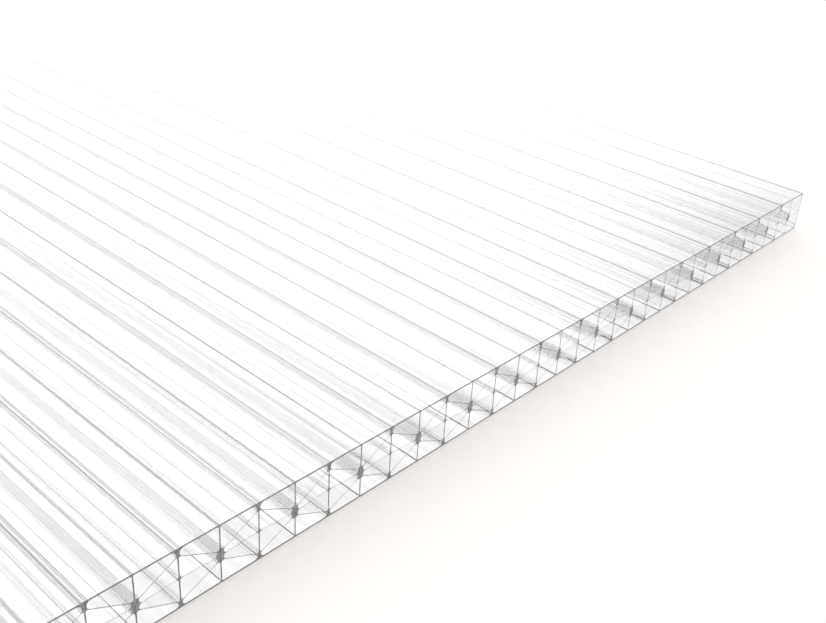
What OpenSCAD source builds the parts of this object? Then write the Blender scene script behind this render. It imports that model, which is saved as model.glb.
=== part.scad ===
// Clear multiwall glazing sheet, extruded in one piece: two skins, a centre
// wall, upright ribs, and diagonal webs that fan out of a solid knot on every
// second rib. The sheet lies flat. Its flutes run along Y, and the origin is
// at the middle of its underside.

/* [Sheet] */
// Width of the sheet, across the flutes
sheet_width = 980; // [200:10:2100]
// Length of the sheet, along the flutes
sheet_length = 2000; // [200:10:6000]
// Overall thickness of the sheet
sheet_thickness = 16; // [12:0.5:32]
// Rounding of the four long outer edges
edge_radius = 0.4; // [0.1:0.05:1]

/* [Walls] */
// Thickness of the top and bottom skins
skin_wall = 0.45; // [0.3:0.05:1.2]
// Thickness of the upright ribs
rib_wall = 0.35; // [0.2:0.05:0.8]
// Thickness of the centre wall, halfway between the skins
centre_wall = 0.12; // [0.08:0.01:0.4]
// Thickness of the diagonal webs
web_wall = 0.16; // [0.08:0.01:0.4]
// Widest that the webs around one knot may spread, which is two rib spaces
crossing_width = 20; // [16:0.5:30]

/* [Webs] */
// Height above the centre wall at which a web leaves its knot
web_start = 1.05; // [0.5:0.05:1.5]
// Depth below the middle of the skin at which a web meets the next rib
web_end = 1.65; // [0.5:0.05:3]

/* [Knots and fillets] */
// Width of the solid knot that four webs and the centre wall share
knot_width = 1.6; // [1:0.1:3]
// Width of the solid column between a skin and the two webs beside it
column_width = 0.9; // [0.9:0.1:2]
// Radius between a knot and the web that leaves it
knot_fillet = 0.6; // [0.1:0.05:1]
// Radius between a column and the web that meets it
column_fillet = 0.3; // [0.1:0.05:0.8]
// Radius between a rib and a skin
skin_rib_radius = 0.35; // [0.1:0.05:0.8]
// Radius between a rib and the centre wall
centre_rib_radius = 0.7; // [0.1:0.05:1]
// Widest angle that one flat step of a fillet may turn
fillet_angle = 45; // [15:5:60]

/* [Hidden] */

// Knots that fill the width, and the rib spacing that this leaves
knots = ceil((sheet_width - rib_wall) / crossing_width - 0.001);
rib_spacing = (sheet_width - rib_wall) / (2 * knots);

// Heights above the sheet's middle plane
half_thickness = sheet_thickness / 2;
skin_inside = half_thickness - skin_wall;
skin_middle = half_thickness - skin_wall / 2;
centre_face = centre_wall / 2;

// A web's middle line climbs from the knot's rib (x = 0) to the next rib
web_slope = (skin_middle - web_end - web_start) / rib_spacing;
web_half_rise = web_wall / 2 * sqrt(1 + web_slope * web_slope);
function web_top(x) = web_start + web_slope * x + web_half_rise;
function web_underside(x) = web_start + web_slope * x - web_half_rise;

// Rib faces that bound the flutes between the two ribs
near_rib_face = rib_wall / 2;
far_rib_face = rib_spacing - rib_wall / 2;

// Where the faces of a web would meet the skin and the centre wall
skin_apex = (skin_inside - web_top(0)) / web_slope;
centre_apex = (centre_face - web_underside(0)) / web_slope;

// The round end of a flute touches both its walls and leaves the solid its width
web_angle = atan(web_slope);
reach_per_radius = 1 / tan(web_angle / 2) - 1;
column_radius = (skin_apex - rib_spacing + column_width / 2) / reach_per_radius;
knot_radius = (knot_width / 2 - centre_apex) / reach_per_radius;

function unit(v) = v / norm(v);
function turn(u, v) = u.x * v.y - u.y * v.x;

// Points of a fillet of radius r in the corner between before and after
function fillet(before, corner, after, r) =
    let (
        u = unit(before - corner),
        v = unit(after - corner),
        half_angle = acos(u * v) / 2,
        centre = corner + unit(u + v) * r / sin(half_angle),
        start = corner + u * r / tan(half_angle) - centre,
        sweep = sign(turn(v, u)) * (180 - 2 * half_angle),
        steps = ceil(abs(sweep) / fillet_angle - 0.001)
    )
    [for (step = [0 : steps])
        let (angle = atan2(start.y, start.x) + sweep * step / steps)
        centre + r * [cos(angle), sin(angle)]];

// An outline with each corner rounded to its own radius
function rounded(corners, radii) =
    let (n = len(corners))
    [for (i = [0 : n - 1])
        each fillet(corners[(i + n - 1) % n], corners[i], corners[(i + 1) % n], radii[i])];

// Flute between a skin and the web under it
module skin_flute() {
    polygon(rounded(
        [
            [near_rib_face, skin_inside],
            [skin_apex, skin_inside],
            [near_rib_face, web_top(near_rib_face)],
        ],
        [skin_rib_radius, column_radius, knot_fillet]
    ));
}

// Flute between the centre wall and the web above it
module centre_flute() {
    polygon(rounded(
        [
            [far_rib_face, centre_face],
            [far_rib_face, web_underside(far_rib_face)],
            [centre_apex, centre_face],
        ],
        [centre_rib_radius, column_fillet, knot_radius]
    ));
}

// The eight flutes around one knot
module flutes_around_knot() {
    for (side = [0, 1])
        mirror([side, 0])
            for (lower = [0, 1])
                mirror([0, lower]) {
                    skin_flute();
                    centre_flute();
                }
}

// Solid outline of the section
module outline() {
    half_width = sheet_width / 2;
    polygon(rounded(
        [
            [half_width, half_thickness],
            [-half_width, half_thickness],
            [-half_width, -half_thickness],
            [half_width, -half_thickness],
        ],
        [for (i = [0 : 3]) edge_radius]
    ));
}

// The section of the sheet, in the XY plane
module section() {
    difference() {
        outline();
        for (i = [0 : knots - 1])
            translate([(2 * i + 1 - knots) * rib_spacing, 0])
                flutes_around_knot();
    }
}

module multiwall_sheet() {
    color([0.93, 0.95, 0.96, 0.4])
        translate([0, sheet_length / 2, half_thickness])
            rotate([90, 0, 0])
                linear_extrude(height = sheet_length)
                    section();
}

multiwall_sheet();
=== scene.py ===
"""Looks of a clear multiwall polycarbonate sheet that lies flat, seen from its sawn end."""

import math

import bmesh
import bpy
from mathutils import Matrix, Vector


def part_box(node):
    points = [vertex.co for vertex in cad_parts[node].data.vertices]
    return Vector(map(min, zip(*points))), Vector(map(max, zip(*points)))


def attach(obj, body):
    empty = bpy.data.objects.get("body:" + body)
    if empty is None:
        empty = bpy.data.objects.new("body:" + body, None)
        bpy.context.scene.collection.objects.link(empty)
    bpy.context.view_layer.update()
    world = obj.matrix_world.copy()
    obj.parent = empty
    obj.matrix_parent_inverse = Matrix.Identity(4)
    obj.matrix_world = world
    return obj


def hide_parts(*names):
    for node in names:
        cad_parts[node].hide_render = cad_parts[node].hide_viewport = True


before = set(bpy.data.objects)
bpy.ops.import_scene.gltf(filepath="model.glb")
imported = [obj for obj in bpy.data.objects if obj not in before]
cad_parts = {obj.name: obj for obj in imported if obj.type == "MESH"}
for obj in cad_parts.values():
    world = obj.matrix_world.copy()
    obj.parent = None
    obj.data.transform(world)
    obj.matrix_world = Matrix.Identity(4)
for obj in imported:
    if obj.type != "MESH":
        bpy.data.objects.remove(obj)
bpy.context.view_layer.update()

NODE = "multiwall_sheet"
MM = 0.001

# The sheet's place, from the frame
LOW, HIGH = (Vector(corner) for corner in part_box(NODE))
HALF_WIDTH = (HIGH.x - LOW.x) / 2
HALF_THICKNESS = (HIGH.z - LOW.z) / 2
MIDDLE = (LOW + HIGH) / 2

# The section, as the frame's own section has it
KNOTS = 49
EDGE_RADIUS = 0.4 * MM
SKIN = 0.45 * MM
RIB = 0.35 * MM
CENTRE_WALL = 0.12 * MM
WEB = 0.16 * MM
WEB_START = 1.05 * MM
WEB_END = 1.65 * MM
KNOT_WIDTH = 1.6 * MM
COLUMN_WIDTH = 0.9 * MM
KNOT_FILLET = 0.6 * MM
COLUMN_FILLET = 0.3 * MM
SKIN_RIB_RADIUS = 0.35 * MM
CENTRE_RIB_RADIUS = 0.7 * MM
RIB_SPACING = (2 * HALF_WIDTH - RIB) / (2 * KNOTS)
SKIN_MIDDLE = HALF_THICKNESS - SKIN / 2

# How the real extrusion strays from the drawn section: knots sag, and walls drift a little
KNOT_SAG = 0.5 * MM
WEB_SAG = 0.2 * MM
DRIFT = 0.12 * MM

# Finish of the mesh
FILLET_STEPS = 6

# The plastic takes a little light, which shows only where it is thick
ABSORBED_PER_METRE = 46.0

# Marks of the die and of the saw: how many a metre across each axis, and their depth
DIE_LINES = (260.0, 1.2, 260.0)
DIE_LINE_DEPTH = 0.02 * MM
SAW_MARKS = (2600.0, 2600.0, 500.0)
SAW_MARK_DEPTH = 0.05 * MM
# Painted shade: dark greys on the sawn ends, standing in for the dark look their cut faces get by
# refraction
SAWN_PAINTED_SHADE = (0.12, 0.28)

# The photograph's frame and camera
IMAGE_SIZE = (826, 623)
FOCAL_PIXELS = 988.2
PRINCIPAL_PIXEL = (500.0, 280.0)
SENSOR_WIDTH_MM = 36.0
CAMERA_AT = (0.1063, -1.1343, 0.15925)
CAMERA_AZIMUTH = 53.36
CAMERA_ELEVATION = -27.19
CAMERA_ROLL = 6.34

# The room
FLOOR_SIZE = 30.0
FLOOR_GAP = 0.1 * MM
ROOM = 1.0
GLOW = 1.4
GLOW_SIDE = (0.53, 0.752, 0.392)
GLOW_STARTS, GLOW_ENDS = 0.82, 0.97
# Painted shade: the floor seen through the sheet is plain white, darker near each sawn end
FLOOR_PAINTED_SHADE_AT_END = 0.95
FLOOR_UNDER_SHEET = 1.0
PAINTED_SHADE_LENGTH = 0.06
LAMP_AZIMUTH = 45.0
LAMP_ELEVATION = 27.0
LAMP_WIDTH = 22.0
LAMP_STRENGTH = 2.1


def drift(index, kind):
    """A small repeatable offset, different for each wall, as a die leaves it."""
    return DRIFT * math.sin(12.9898 * index + 78.233 * kind + 0.7) * math.cos(4.1 * index + kind)


def wall(start, end, thickness):
    """A straight wall of the section: a point on its middle line, its direction and its half thickness."""
    start, end = Vector(start), Vector(end)
    return start, (end - start).normalized(), thickness / 2


def face_line(one_wall, inside):
    """The face of a wall that looks towards the point inside."""
    start, direction, half = one_wall
    normal = Vector((-direction.y, direction.x))
    if (inside - start).dot(normal) < 0:
        normal = -normal
    return start + normal * half, direction


def meet(line_a, line_b):
    """Where two lines of the section cross."""
    (p, u), (q, v) = line_a, line_b
    turn = u.x * v.y - u.y * v.x
    gap = q - p
    return p + u * ((gap.x * v.y - gap.y * v.x) / turn)


def rounded(corners, radii):
    """An outline with its corners rounded, as points with the direction to their fillet's centre."""
    points = []
    count = len(corners)
    for i, corner in enumerate(corners):
        u = (corners[i - 1] - corner).normalized()
        v = (corners[(i + 1) % count] - corner).normalized()
        half_angle = u.angle(v) / 2
        centre = corner + (u + v).normalized() * (radii[i] / math.sin(half_angle))
        first = corner + u * (radii[i] / math.tan(half_angle)) - centre
        last = corner + v * (radii[i] / math.tan(half_angle)) - centre
        for step in range(FILLET_STEPS + 1):
            arm = slerp(first, last, step / FILLET_STEPS)
            points.append((centre + arm, -arm.normalized()))
    return points


def slerp(first, last, share):
    """Turns the arm first towards last by a share of the angle between them."""
    angle = first.angle(last)
    sine = math.sin(angle)
    return first * (math.sin((1 - share) * angle) / sine) + last * (math.sin(share * angle) / sine)


def flute(walls, radii, open_end=None):
    """The rounded outline of the three-cornered flute between three walls.

    A corner whose radius is None is the flute's wedge: its round end touches both its walls and
    stops at the x called open_end.
    """
    middles = [meet((walls[i - 1][0], walls[i - 1][1]), (w[0], w[1])) for i, w in enumerate(walls)]
    inside = sum(middles, Vector((0, 0))) / 3
    faces = [face_line(w, inside) for w in walls]
    corners = [meet(faces[i - 1], faces[i]) for i in range(3)]
    wedge = radii.index(None)
    tip = corners[wedge]
    arms = [corners[wedge - 1] - tip, corners[(wedge + 1) % 3] - tip]
    half_angle = arms[0].angle(arms[1]) / 2
    axis = arms[0].normalized() + arms[1].normalized()
    reach = abs(axis.normalized().x) / math.sin(half_angle) - 1
    radii = [abs(open_end - tip.x) / reach if radius is None else radius for radius in radii]
    return rounded(corners, radii)


def flutes_around_knot(index):
    """The eight flutes around one knot."""
    x = (2 * index + 1 - KNOTS) * RIB_SPACING
    z = drift(index, 1) - KNOT_SAG
    outlines = []
    for side in (-1, 1):
        x_far = x + side * RIB_SPACING
        z_far = drift(2 * index + side, 2)
        rib = wall((x, -SKIN_MIDDLE), (x, SKIN_MIDDLE), RIB)
        far_rib = wall((x_far, -SKIN_MIDDLE), (x_far, SKIN_MIDDLE), RIB)
        centre = wall((x, z), (x_far, z_far), CENTRE_WALL)
        knot_end = x + side * KNOT_WIDTH / 2
        column_end = x_far - side * COLUMN_WIDTH / 2
        for height in (-1, 1):
            skin = wall((x, height * SKIN_MIDDLE), (x_far, height * SKIN_MIDDLE), SKIN)
            web_end = height * (SKIN_MIDDLE - WEB_END) - WEB_SAG
            web = wall((x, z + height * WEB_START), (x_far, web_end), WEB)
            skin_radii = [KNOT_FILLET, SKIN_RIB_RADIUS, None]
            outlines.append(flute([rib, skin, web], skin_radii, column_end))
            centre_radii = [COLUMN_FILLET, CENTRE_RIB_RADIUS, None]
            outlines.append(flute([far_rib, centre, web], centre_radii, knot_end))
    return outlines


def section_outlines():
    """The sheet's outer outline, then all its flutes."""
    corners = [
        Vector((HALF_WIDTH, HALF_THICKNESS)),
        Vector((-HALF_WIDTH, HALF_THICKNESS)),
        Vector((-HALF_WIDTH, -HALF_THICKNESS)),
        Vector((HALF_WIDTH, -HALF_THICKNESS)),
    ]
    outer = [(point, -normal) for point, normal in rounded(corners, [EDGE_RADIUS] * 4)]
    flutes = [outline for i in range(KNOTS) for outline in flutes_around_knot(i)]
    return [outer] + flutes


def make_sheet():
    """The extruded sheet, with true normals on its fillets."""
    bm = bmesh.new()
    normals = {}
    for outline in section_outlines():
        ring = []
        for point, normal in outline:
            vert = bm.verts.new((point.x + MIDDLE.x, LOW.y, point.y + MIDDLE.z))
            ring.append(vert)
            normals[round(vert.co.x, 7), round(vert.co.z, 7)] = (normal.x, 0.0, normal.y)
        for i, vert in enumerate(ring):
            bm.edges.new((ring[i - 1], vert))
    bmesh.ops.triangle_fill(bm, edges=bm.edges[:], use_beauty=False, normal=(0, -1, 0))
    made = bmesh.ops.extrude_face_region(bm, geom=bm.faces[:])
    far_end = [item for item in made["geom"] if isinstance(item, bmesh.types.BMVert)]
    bmesh.ops.translate(bm, verts=far_end, vec=(0, HIGH.y - LOW.y, 0))
    bmesh.ops.recalc_face_normals(bm, faces=bm.faces[:])
    mesh = bpy.data.meshes.new("sheet_mesh")
    for face in bm.faces:
        face.smooth = True
        face.material_index = 1 if abs(face.normal.y) > 0.5 else 0
    bm.to_mesh(mesh)
    bm.free()
    loop_normals = []
    for polygon in mesh.polygons:
        end_face = abs(polygon.normal.y) > 0.5
        for loop in polygon.loop_indices:
            place = mesh.vertices[mesh.loops[loop].vertex_index].co
            key = (round(place.x, 7), round(place.z, 7))
            loop_normals.append(tuple(polygon.normal) if end_face else normals[key])
    mesh.normals_split_custom_set(loop_normals)
    sheet = bpy.data.objects.new("sheet", mesh)
    bpy.context.collection.objects.link(sheet)
    return sheet


def new_material(name):
    """An empty node material and its output."""
    material = bpy.data.materials.new(name)
    material.use_nodes = True
    tree = material.node_tree
    tree.nodes.clear()
    return material, tree, tree.nodes.new("ShaderNodeOutputMaterial")


def let_lamps_through(tree, shader, colour):
    """Mixes in a tinted hole that only rays lighting the floor see, and returns the mix."""
    path = tree.nodes.new("ShaderNodeLightPath")
    hole = tree.nodes.new("ShaderNodeBsdfTransparent")
    hole.inputs["Color"].default_value = colour
    for kind in ("Is Shadow Ray", "Is Diffuse Ray"):
        mix = tree.nodes.new("ShaderNodeMixShader")
        tree.links.new(path.outputs[kind], mix.inputs["Fac"])
        tree.links.new(shader.outputs[0], mix.inputs[1])
        tree.links.new(hole.outputs[0], mix.inputs[2])
        shader = mix
    return shader


def marks(tree, per_metre, depth, strength):
    """Noise stretched along one axis, and the bump that it makes."""
    place = tree.nodes.new("ShaderNodeTexCoord")
    stretch = tree.nodes.new("ShaderNodeVectorMath")
    stretch.operation = "MULTIPLY"
    stretch.inputs[1].default_value = per_metre
    tree.links.new(place.outputs["Object"], stretch.inputs[0])
    noise = tree.nodes.new("ShaderNodeTexNoise")
    noise.inputs["Scale"].default_value = 1.0
    noise.inputs["Detail"].default_value = 0.0
    tree.links.new(stretch.outputs["Vector"], noise.inputs["Vector"])
    bump = tree.nodes.new("ShaderNodeBump")
    bump.inputs["Strength"].default_value = strength
    bump.inputs["Distance"].default_value = depth
    tree.links.new(noise.outputs["Fac"], bump.inputs["Height"])
    return noise, bump


def clear_material():
    """Clear polycarbonate of the skins, ribs and webs."""
    material, tree, output = new_material("clear_polycarbonate")
    glass = tree.nodes.new("ShaderNodeBsdfPrincipled")
    glass.inputs["Base Color"].default_value = (1, 1, 1, 1)
    glass.inputs["Roughness"].default_value = 0.0
    glass.inputs["IOR"].default_value = 1.585
    glass.inputs["Transmission Weight"].default_value = 1.0
    die_lines = marks(tree, DIE_LINES, DIE_LINE_DEPTH, 0.5)[1]
    tree.links.new(die_lines.outputs["Normal"], glass.inputs["Normal"])
    mix = let_lamps_through(tree, glass, (0.97, 0.97, 0.97, 1))
    tree.links.new(mix.outputs[0], output.inputs["Surface"])
    haze = tree.nodes.new("ShaderNodeVolumeAbsorption")
    haze.inputs["Color"].default_value = (0.0, 0.0, 0.0, 1)
    haze.inputs["Density"].default_value = ABSORBED_PER_METRE
    tree.links.new(haze.outputs[0], output.inputs["Volume"])
    return material


def sawn_material():
    """Sawn ends of the walls, finely rough, in dark greys that are painted shade, varied at random along
    the saw marks.
    """
    material, tree, output = new_material("sawn_polycarbonate")
    glass = tree.nodes.new("ShaderNodeBsdfPrincipled")
    glass.inputs["Roughness"].default_value = 0.4
    glass.inputs["IOR"].default_value = 1.585
    noise, saw_marks = marks(tree, SAW_MARKS, SAW_MARK_DEPTH, 0.4)
    # Painted shade on the sawn ends, varied at random with the saw marks
    sawn_painted_shade = tree.nodes.new("ShaderNodeMapRange")
    sawn_painted_shade.inputs["From Min"].default_value = 0.3
    sawn_painted_shade.inputs["From Max"].default_value = 0.7
    sawn_painted_shade.inputs["To Min"].default_value = SAWN_PAINTED_SHADE[0]
    sawn_painted_shade.inputs["To Max"].default_value = SAWN_PAINTED_SHADE[1]
    tree.links.new(noise.outputs["Fac"], sawn_painted_shade.inputs["Value"])
    tree.links.new(sawn_painted_shade.outputs["Result"], glass.inputs["Base Color"])
    tree.links.new(saw_marks.outputs["Normal"], glass.inputs["Normal"])
    mix = let_lamps_through(tree, glass, (0.75, 0.75, 0.75, 1))
    tree.links.new(mix.outputs[0], output.inputs["Surface"])
    return material


def floor_material():
    """A pale matt floor that reads as white and keeps the sheet's shadow. Seen through the sheet it is a
    plain white, with painted shade near the sheet's ends.
    """
    material, tree, output = new_material("pale_floor")
    matt = tree.nodes.new("ShaderNodeBsdfDiffuse")
    matt.inputs["Color"].default_value = (0.73, 0.698, 0.678, 1)
    lift = tree.nodes.new("ShaderNodeEmission")
    lift.inputs["Color"].default_value = (0.05, 0.05, 0.05, 1)
    both = tree.nodes.new("ShaderNodeAddShader")
    tree.links.new(matt.outputs[0], both.inputs[0])
    tree.links.new(lift.outputs[0], both.inputs[1])
    plain = tree.nodes.new("ShaderNodeEmission")
    place = tree.nodes.new("ShaderNodeTexCoord")
    parts = tree.nodes.new("ShaderNodeSeparateXYZ")
    tree.links.new(place.outputs["Object"], parts.inputs[0])
    along = tree.nodes.new("ShaderNodeMath")
    along.operation = "ABSOLUTE"
    tree.links.new(parts.outputs["Y"], along.inputs[0])
    # Painted shade: the floor seen through the sheet darkens towards each end of the sheet
    painted_shade_ramp = tree.nodes.new("ShaderNodeMapRange")
    painted_shade_ramp.interpolation_type = "SMOOTHSTEP"
    painted_shade_ramp.inputs["From Min"].default_value = HIGH.y - PAINTED_SHADE_LENGTH
    painted_shade_ramp.inputs["From Max"].default_value = HIGH.y
    painted_shade_ramp.inputs["To Min"].default_value = FLOOR_UNDER_SHEET
    painted_shade_ramp.inputs["To Max"].default_value = FLOOR_PAINTED_SHADE_AT_END
    tree.links.new(along.outputs[0], painted_shade_ramp.inputs["Value"])
    tree.links.new(painted_shade_ramp.outputs["Result"], plain.inputs["Strength"])
    path = tree.nodes.new("ShaderNodeLightPath")
    mix = tree.nodes.new("ShaderNodeMixShader")
    tree.links.new(path.outputs["Is Transmission Ray"], mix.inputs["Fac"])
    tree.links.new(both.outputs[0], mix.inputs[1])
    tree.links.new(plain.outputs[0], mix.inputs[2])
    tree.links.new(mix.outputs[0], output.inputs["Surface"])
    return material


def make_floor():
    """The level floor just under the sheet."""
    bpy.ops.mesh.primitive_plane_add(size=FLOOR_SIZE, location=(0, 0, LOW.z - FLOOR_GAP))
    floor = bpy.context.object
    floor.name = "floor"
    floor.data.materials.append(floor_material())


def side_ramp(tree, side, span, levels):
    """A level that changes softly as the direction turns towards one side of the room."""
    direction = tree.nodes.new("ShaderNodeTexCoord")
    towards = tree.nodes.new("ShaderNodeVectorMath")
    towards.operation = "DOT_PRODUCT"
    towards.inputs[1].default_value = side
    tree.links.new(direction.outputs["Generated"], towards.inputs[0])
    ramp = tree.nodes.new("ShaderNodeMapRange")
    ramp.interpolation_type = "SMOOTHSTEP"
    ramp.inputs["From Min"].default_value = span[0]
    ramp.inputs["From Max"].default_value = span[1]
    ramp.inputs["To Min"].default_value = levels[0]
    ramp.inputs["To Max"].default_value = levels[1]
    tree.links.new(towards.outputs["Value"], ramp.inputs["Value"])
    return ramp


def make_world():
    """A pale room with a soft bright patch behind the sheet, which its upper skin mirrors."""
    world = bpy.data.worlds.new("studio")
    bpy.context.scene.world = world
    world.use_nodes = True
    tree = world.node_tree
    tree.nodes.clear()
    output = tree.nodes.new("ShaderNodeOutputWorld")
    glow = side_ramp(tree, GLOW_SIDE, (GLOW_STARTS, GLOW_ENDS), (ROOM, ROOM + GLOW))
    room = tree.nodes.new("ShaderNodeBackground")
    tree.links.new(glow.outputs["Result"], room.inputs["Color"])
    backdrop = tree.nodes.new("ShaderNodeBackground")
    backdrop.inputs["Color"].default_value = (1, 1, 1, 1)
    path = tree.nodes.new("ShaderNodeLightPath")
    mix = tree.nodes.new("ShaderNodeMixShader")
    tree.links.new(path.outputs["Is Camera Ray"], mix.inputs["Fac"])
    tree.links.new(room.outputs[0], mix.inputs[1])
    tree.links.new(backdrop.outputs[0], mix.inputs[2])
    tree.links.new(mix.outputs[0], output.inputs["Surface"])


def make_lamp():
    """One broad soft lamp beyond the far side of the sheet, even over the whole floor."""
    data = bpy.data.lights.new("key", "SUN")
    data.angle = math.radians(LAMP_WIDTH)
    data.energy = LAMP_STRENGTH
    lamp = bpy.data.objects.new("key", data)
    turn = Matrix.Rotation(math.radians(-LAMP_AZIMUTH), 4, "Z")
    tilt = Matrix.Rotation(math.radians(LAMP_ELEVATION - 90), 4, "X")
    lamp.matrix_world = turn @ tilt
    lamp.visible_glossy = False
    lamp.visible_transmission = False
    bpy.context.collection.objects.link(lamp)


def make_camera():
    """The photograph's camera."""
    data = bpy.data.cameras.new("camera")
    data.sensor_width = SENSOR_WIDTH_MM
    data.lens = FOCAL_PIXELS / IMAGE_SIZE[0] * SENSOR_WIDTH_MM
    data.shift_x = (IMAGE_SIZE[0] / 2 - PRINCIPAL_PIXEL[0]) / IMAGE_SIZE[0]
    data.shift_y = (PRINCIPAL_PIXEL[1] - IMAGE_SIZE[1] / 2) / IMAGE_SIZE[0]
    data.clip_start = 0.01
    camera = bpy.data.objects.new("camera", data)
    turn = Matrix.Rotation(math.radians(-CAMERA_AZIMUTH), 4, "Z")
    tilt = Matrix.Rotation(math.radians(90 + CAMERA_ELEVATION), 4, "X")
    roll = Matrix.Rotation(math.radians(CAMERA_ROLL), 4, "Z")
    camera.matrix_world = Matrix.Translation(CAMERA_AT) @ turn @ tilt @ roll
    bpy.context.collection.objects.link(camera)
    bpy.context.scene.camera = camera


def set_render():
    """Enough bounces for rays to pass all the walls, and clean shadows."""
    scene = bpy.context.scene
    scene.view_settings.view_transform = "Standard"
    cycles = scene.cycles
    cycles.max_bounces = 28
    cycles.transmission_bounces = 28
    cycles.glossy_bounces = 28
    cycles.transparent_max_bounces = 80
    cycles.diffuse_bounces = 2
    cycles.caustics_reflective = False
    cycles.caustics_refractive = False
    cycles.use_denoising = True
    cycles.denoising_input_passes = "RGB"


make_camera()
sheet = make_sheet()
sheet.data.materials.append(clear_material())
sheet.data.materials.append(sawn_material())
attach(sheet, "root")
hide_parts(NODE)
make_floor()
make_world()
make_lamp()
set_render()
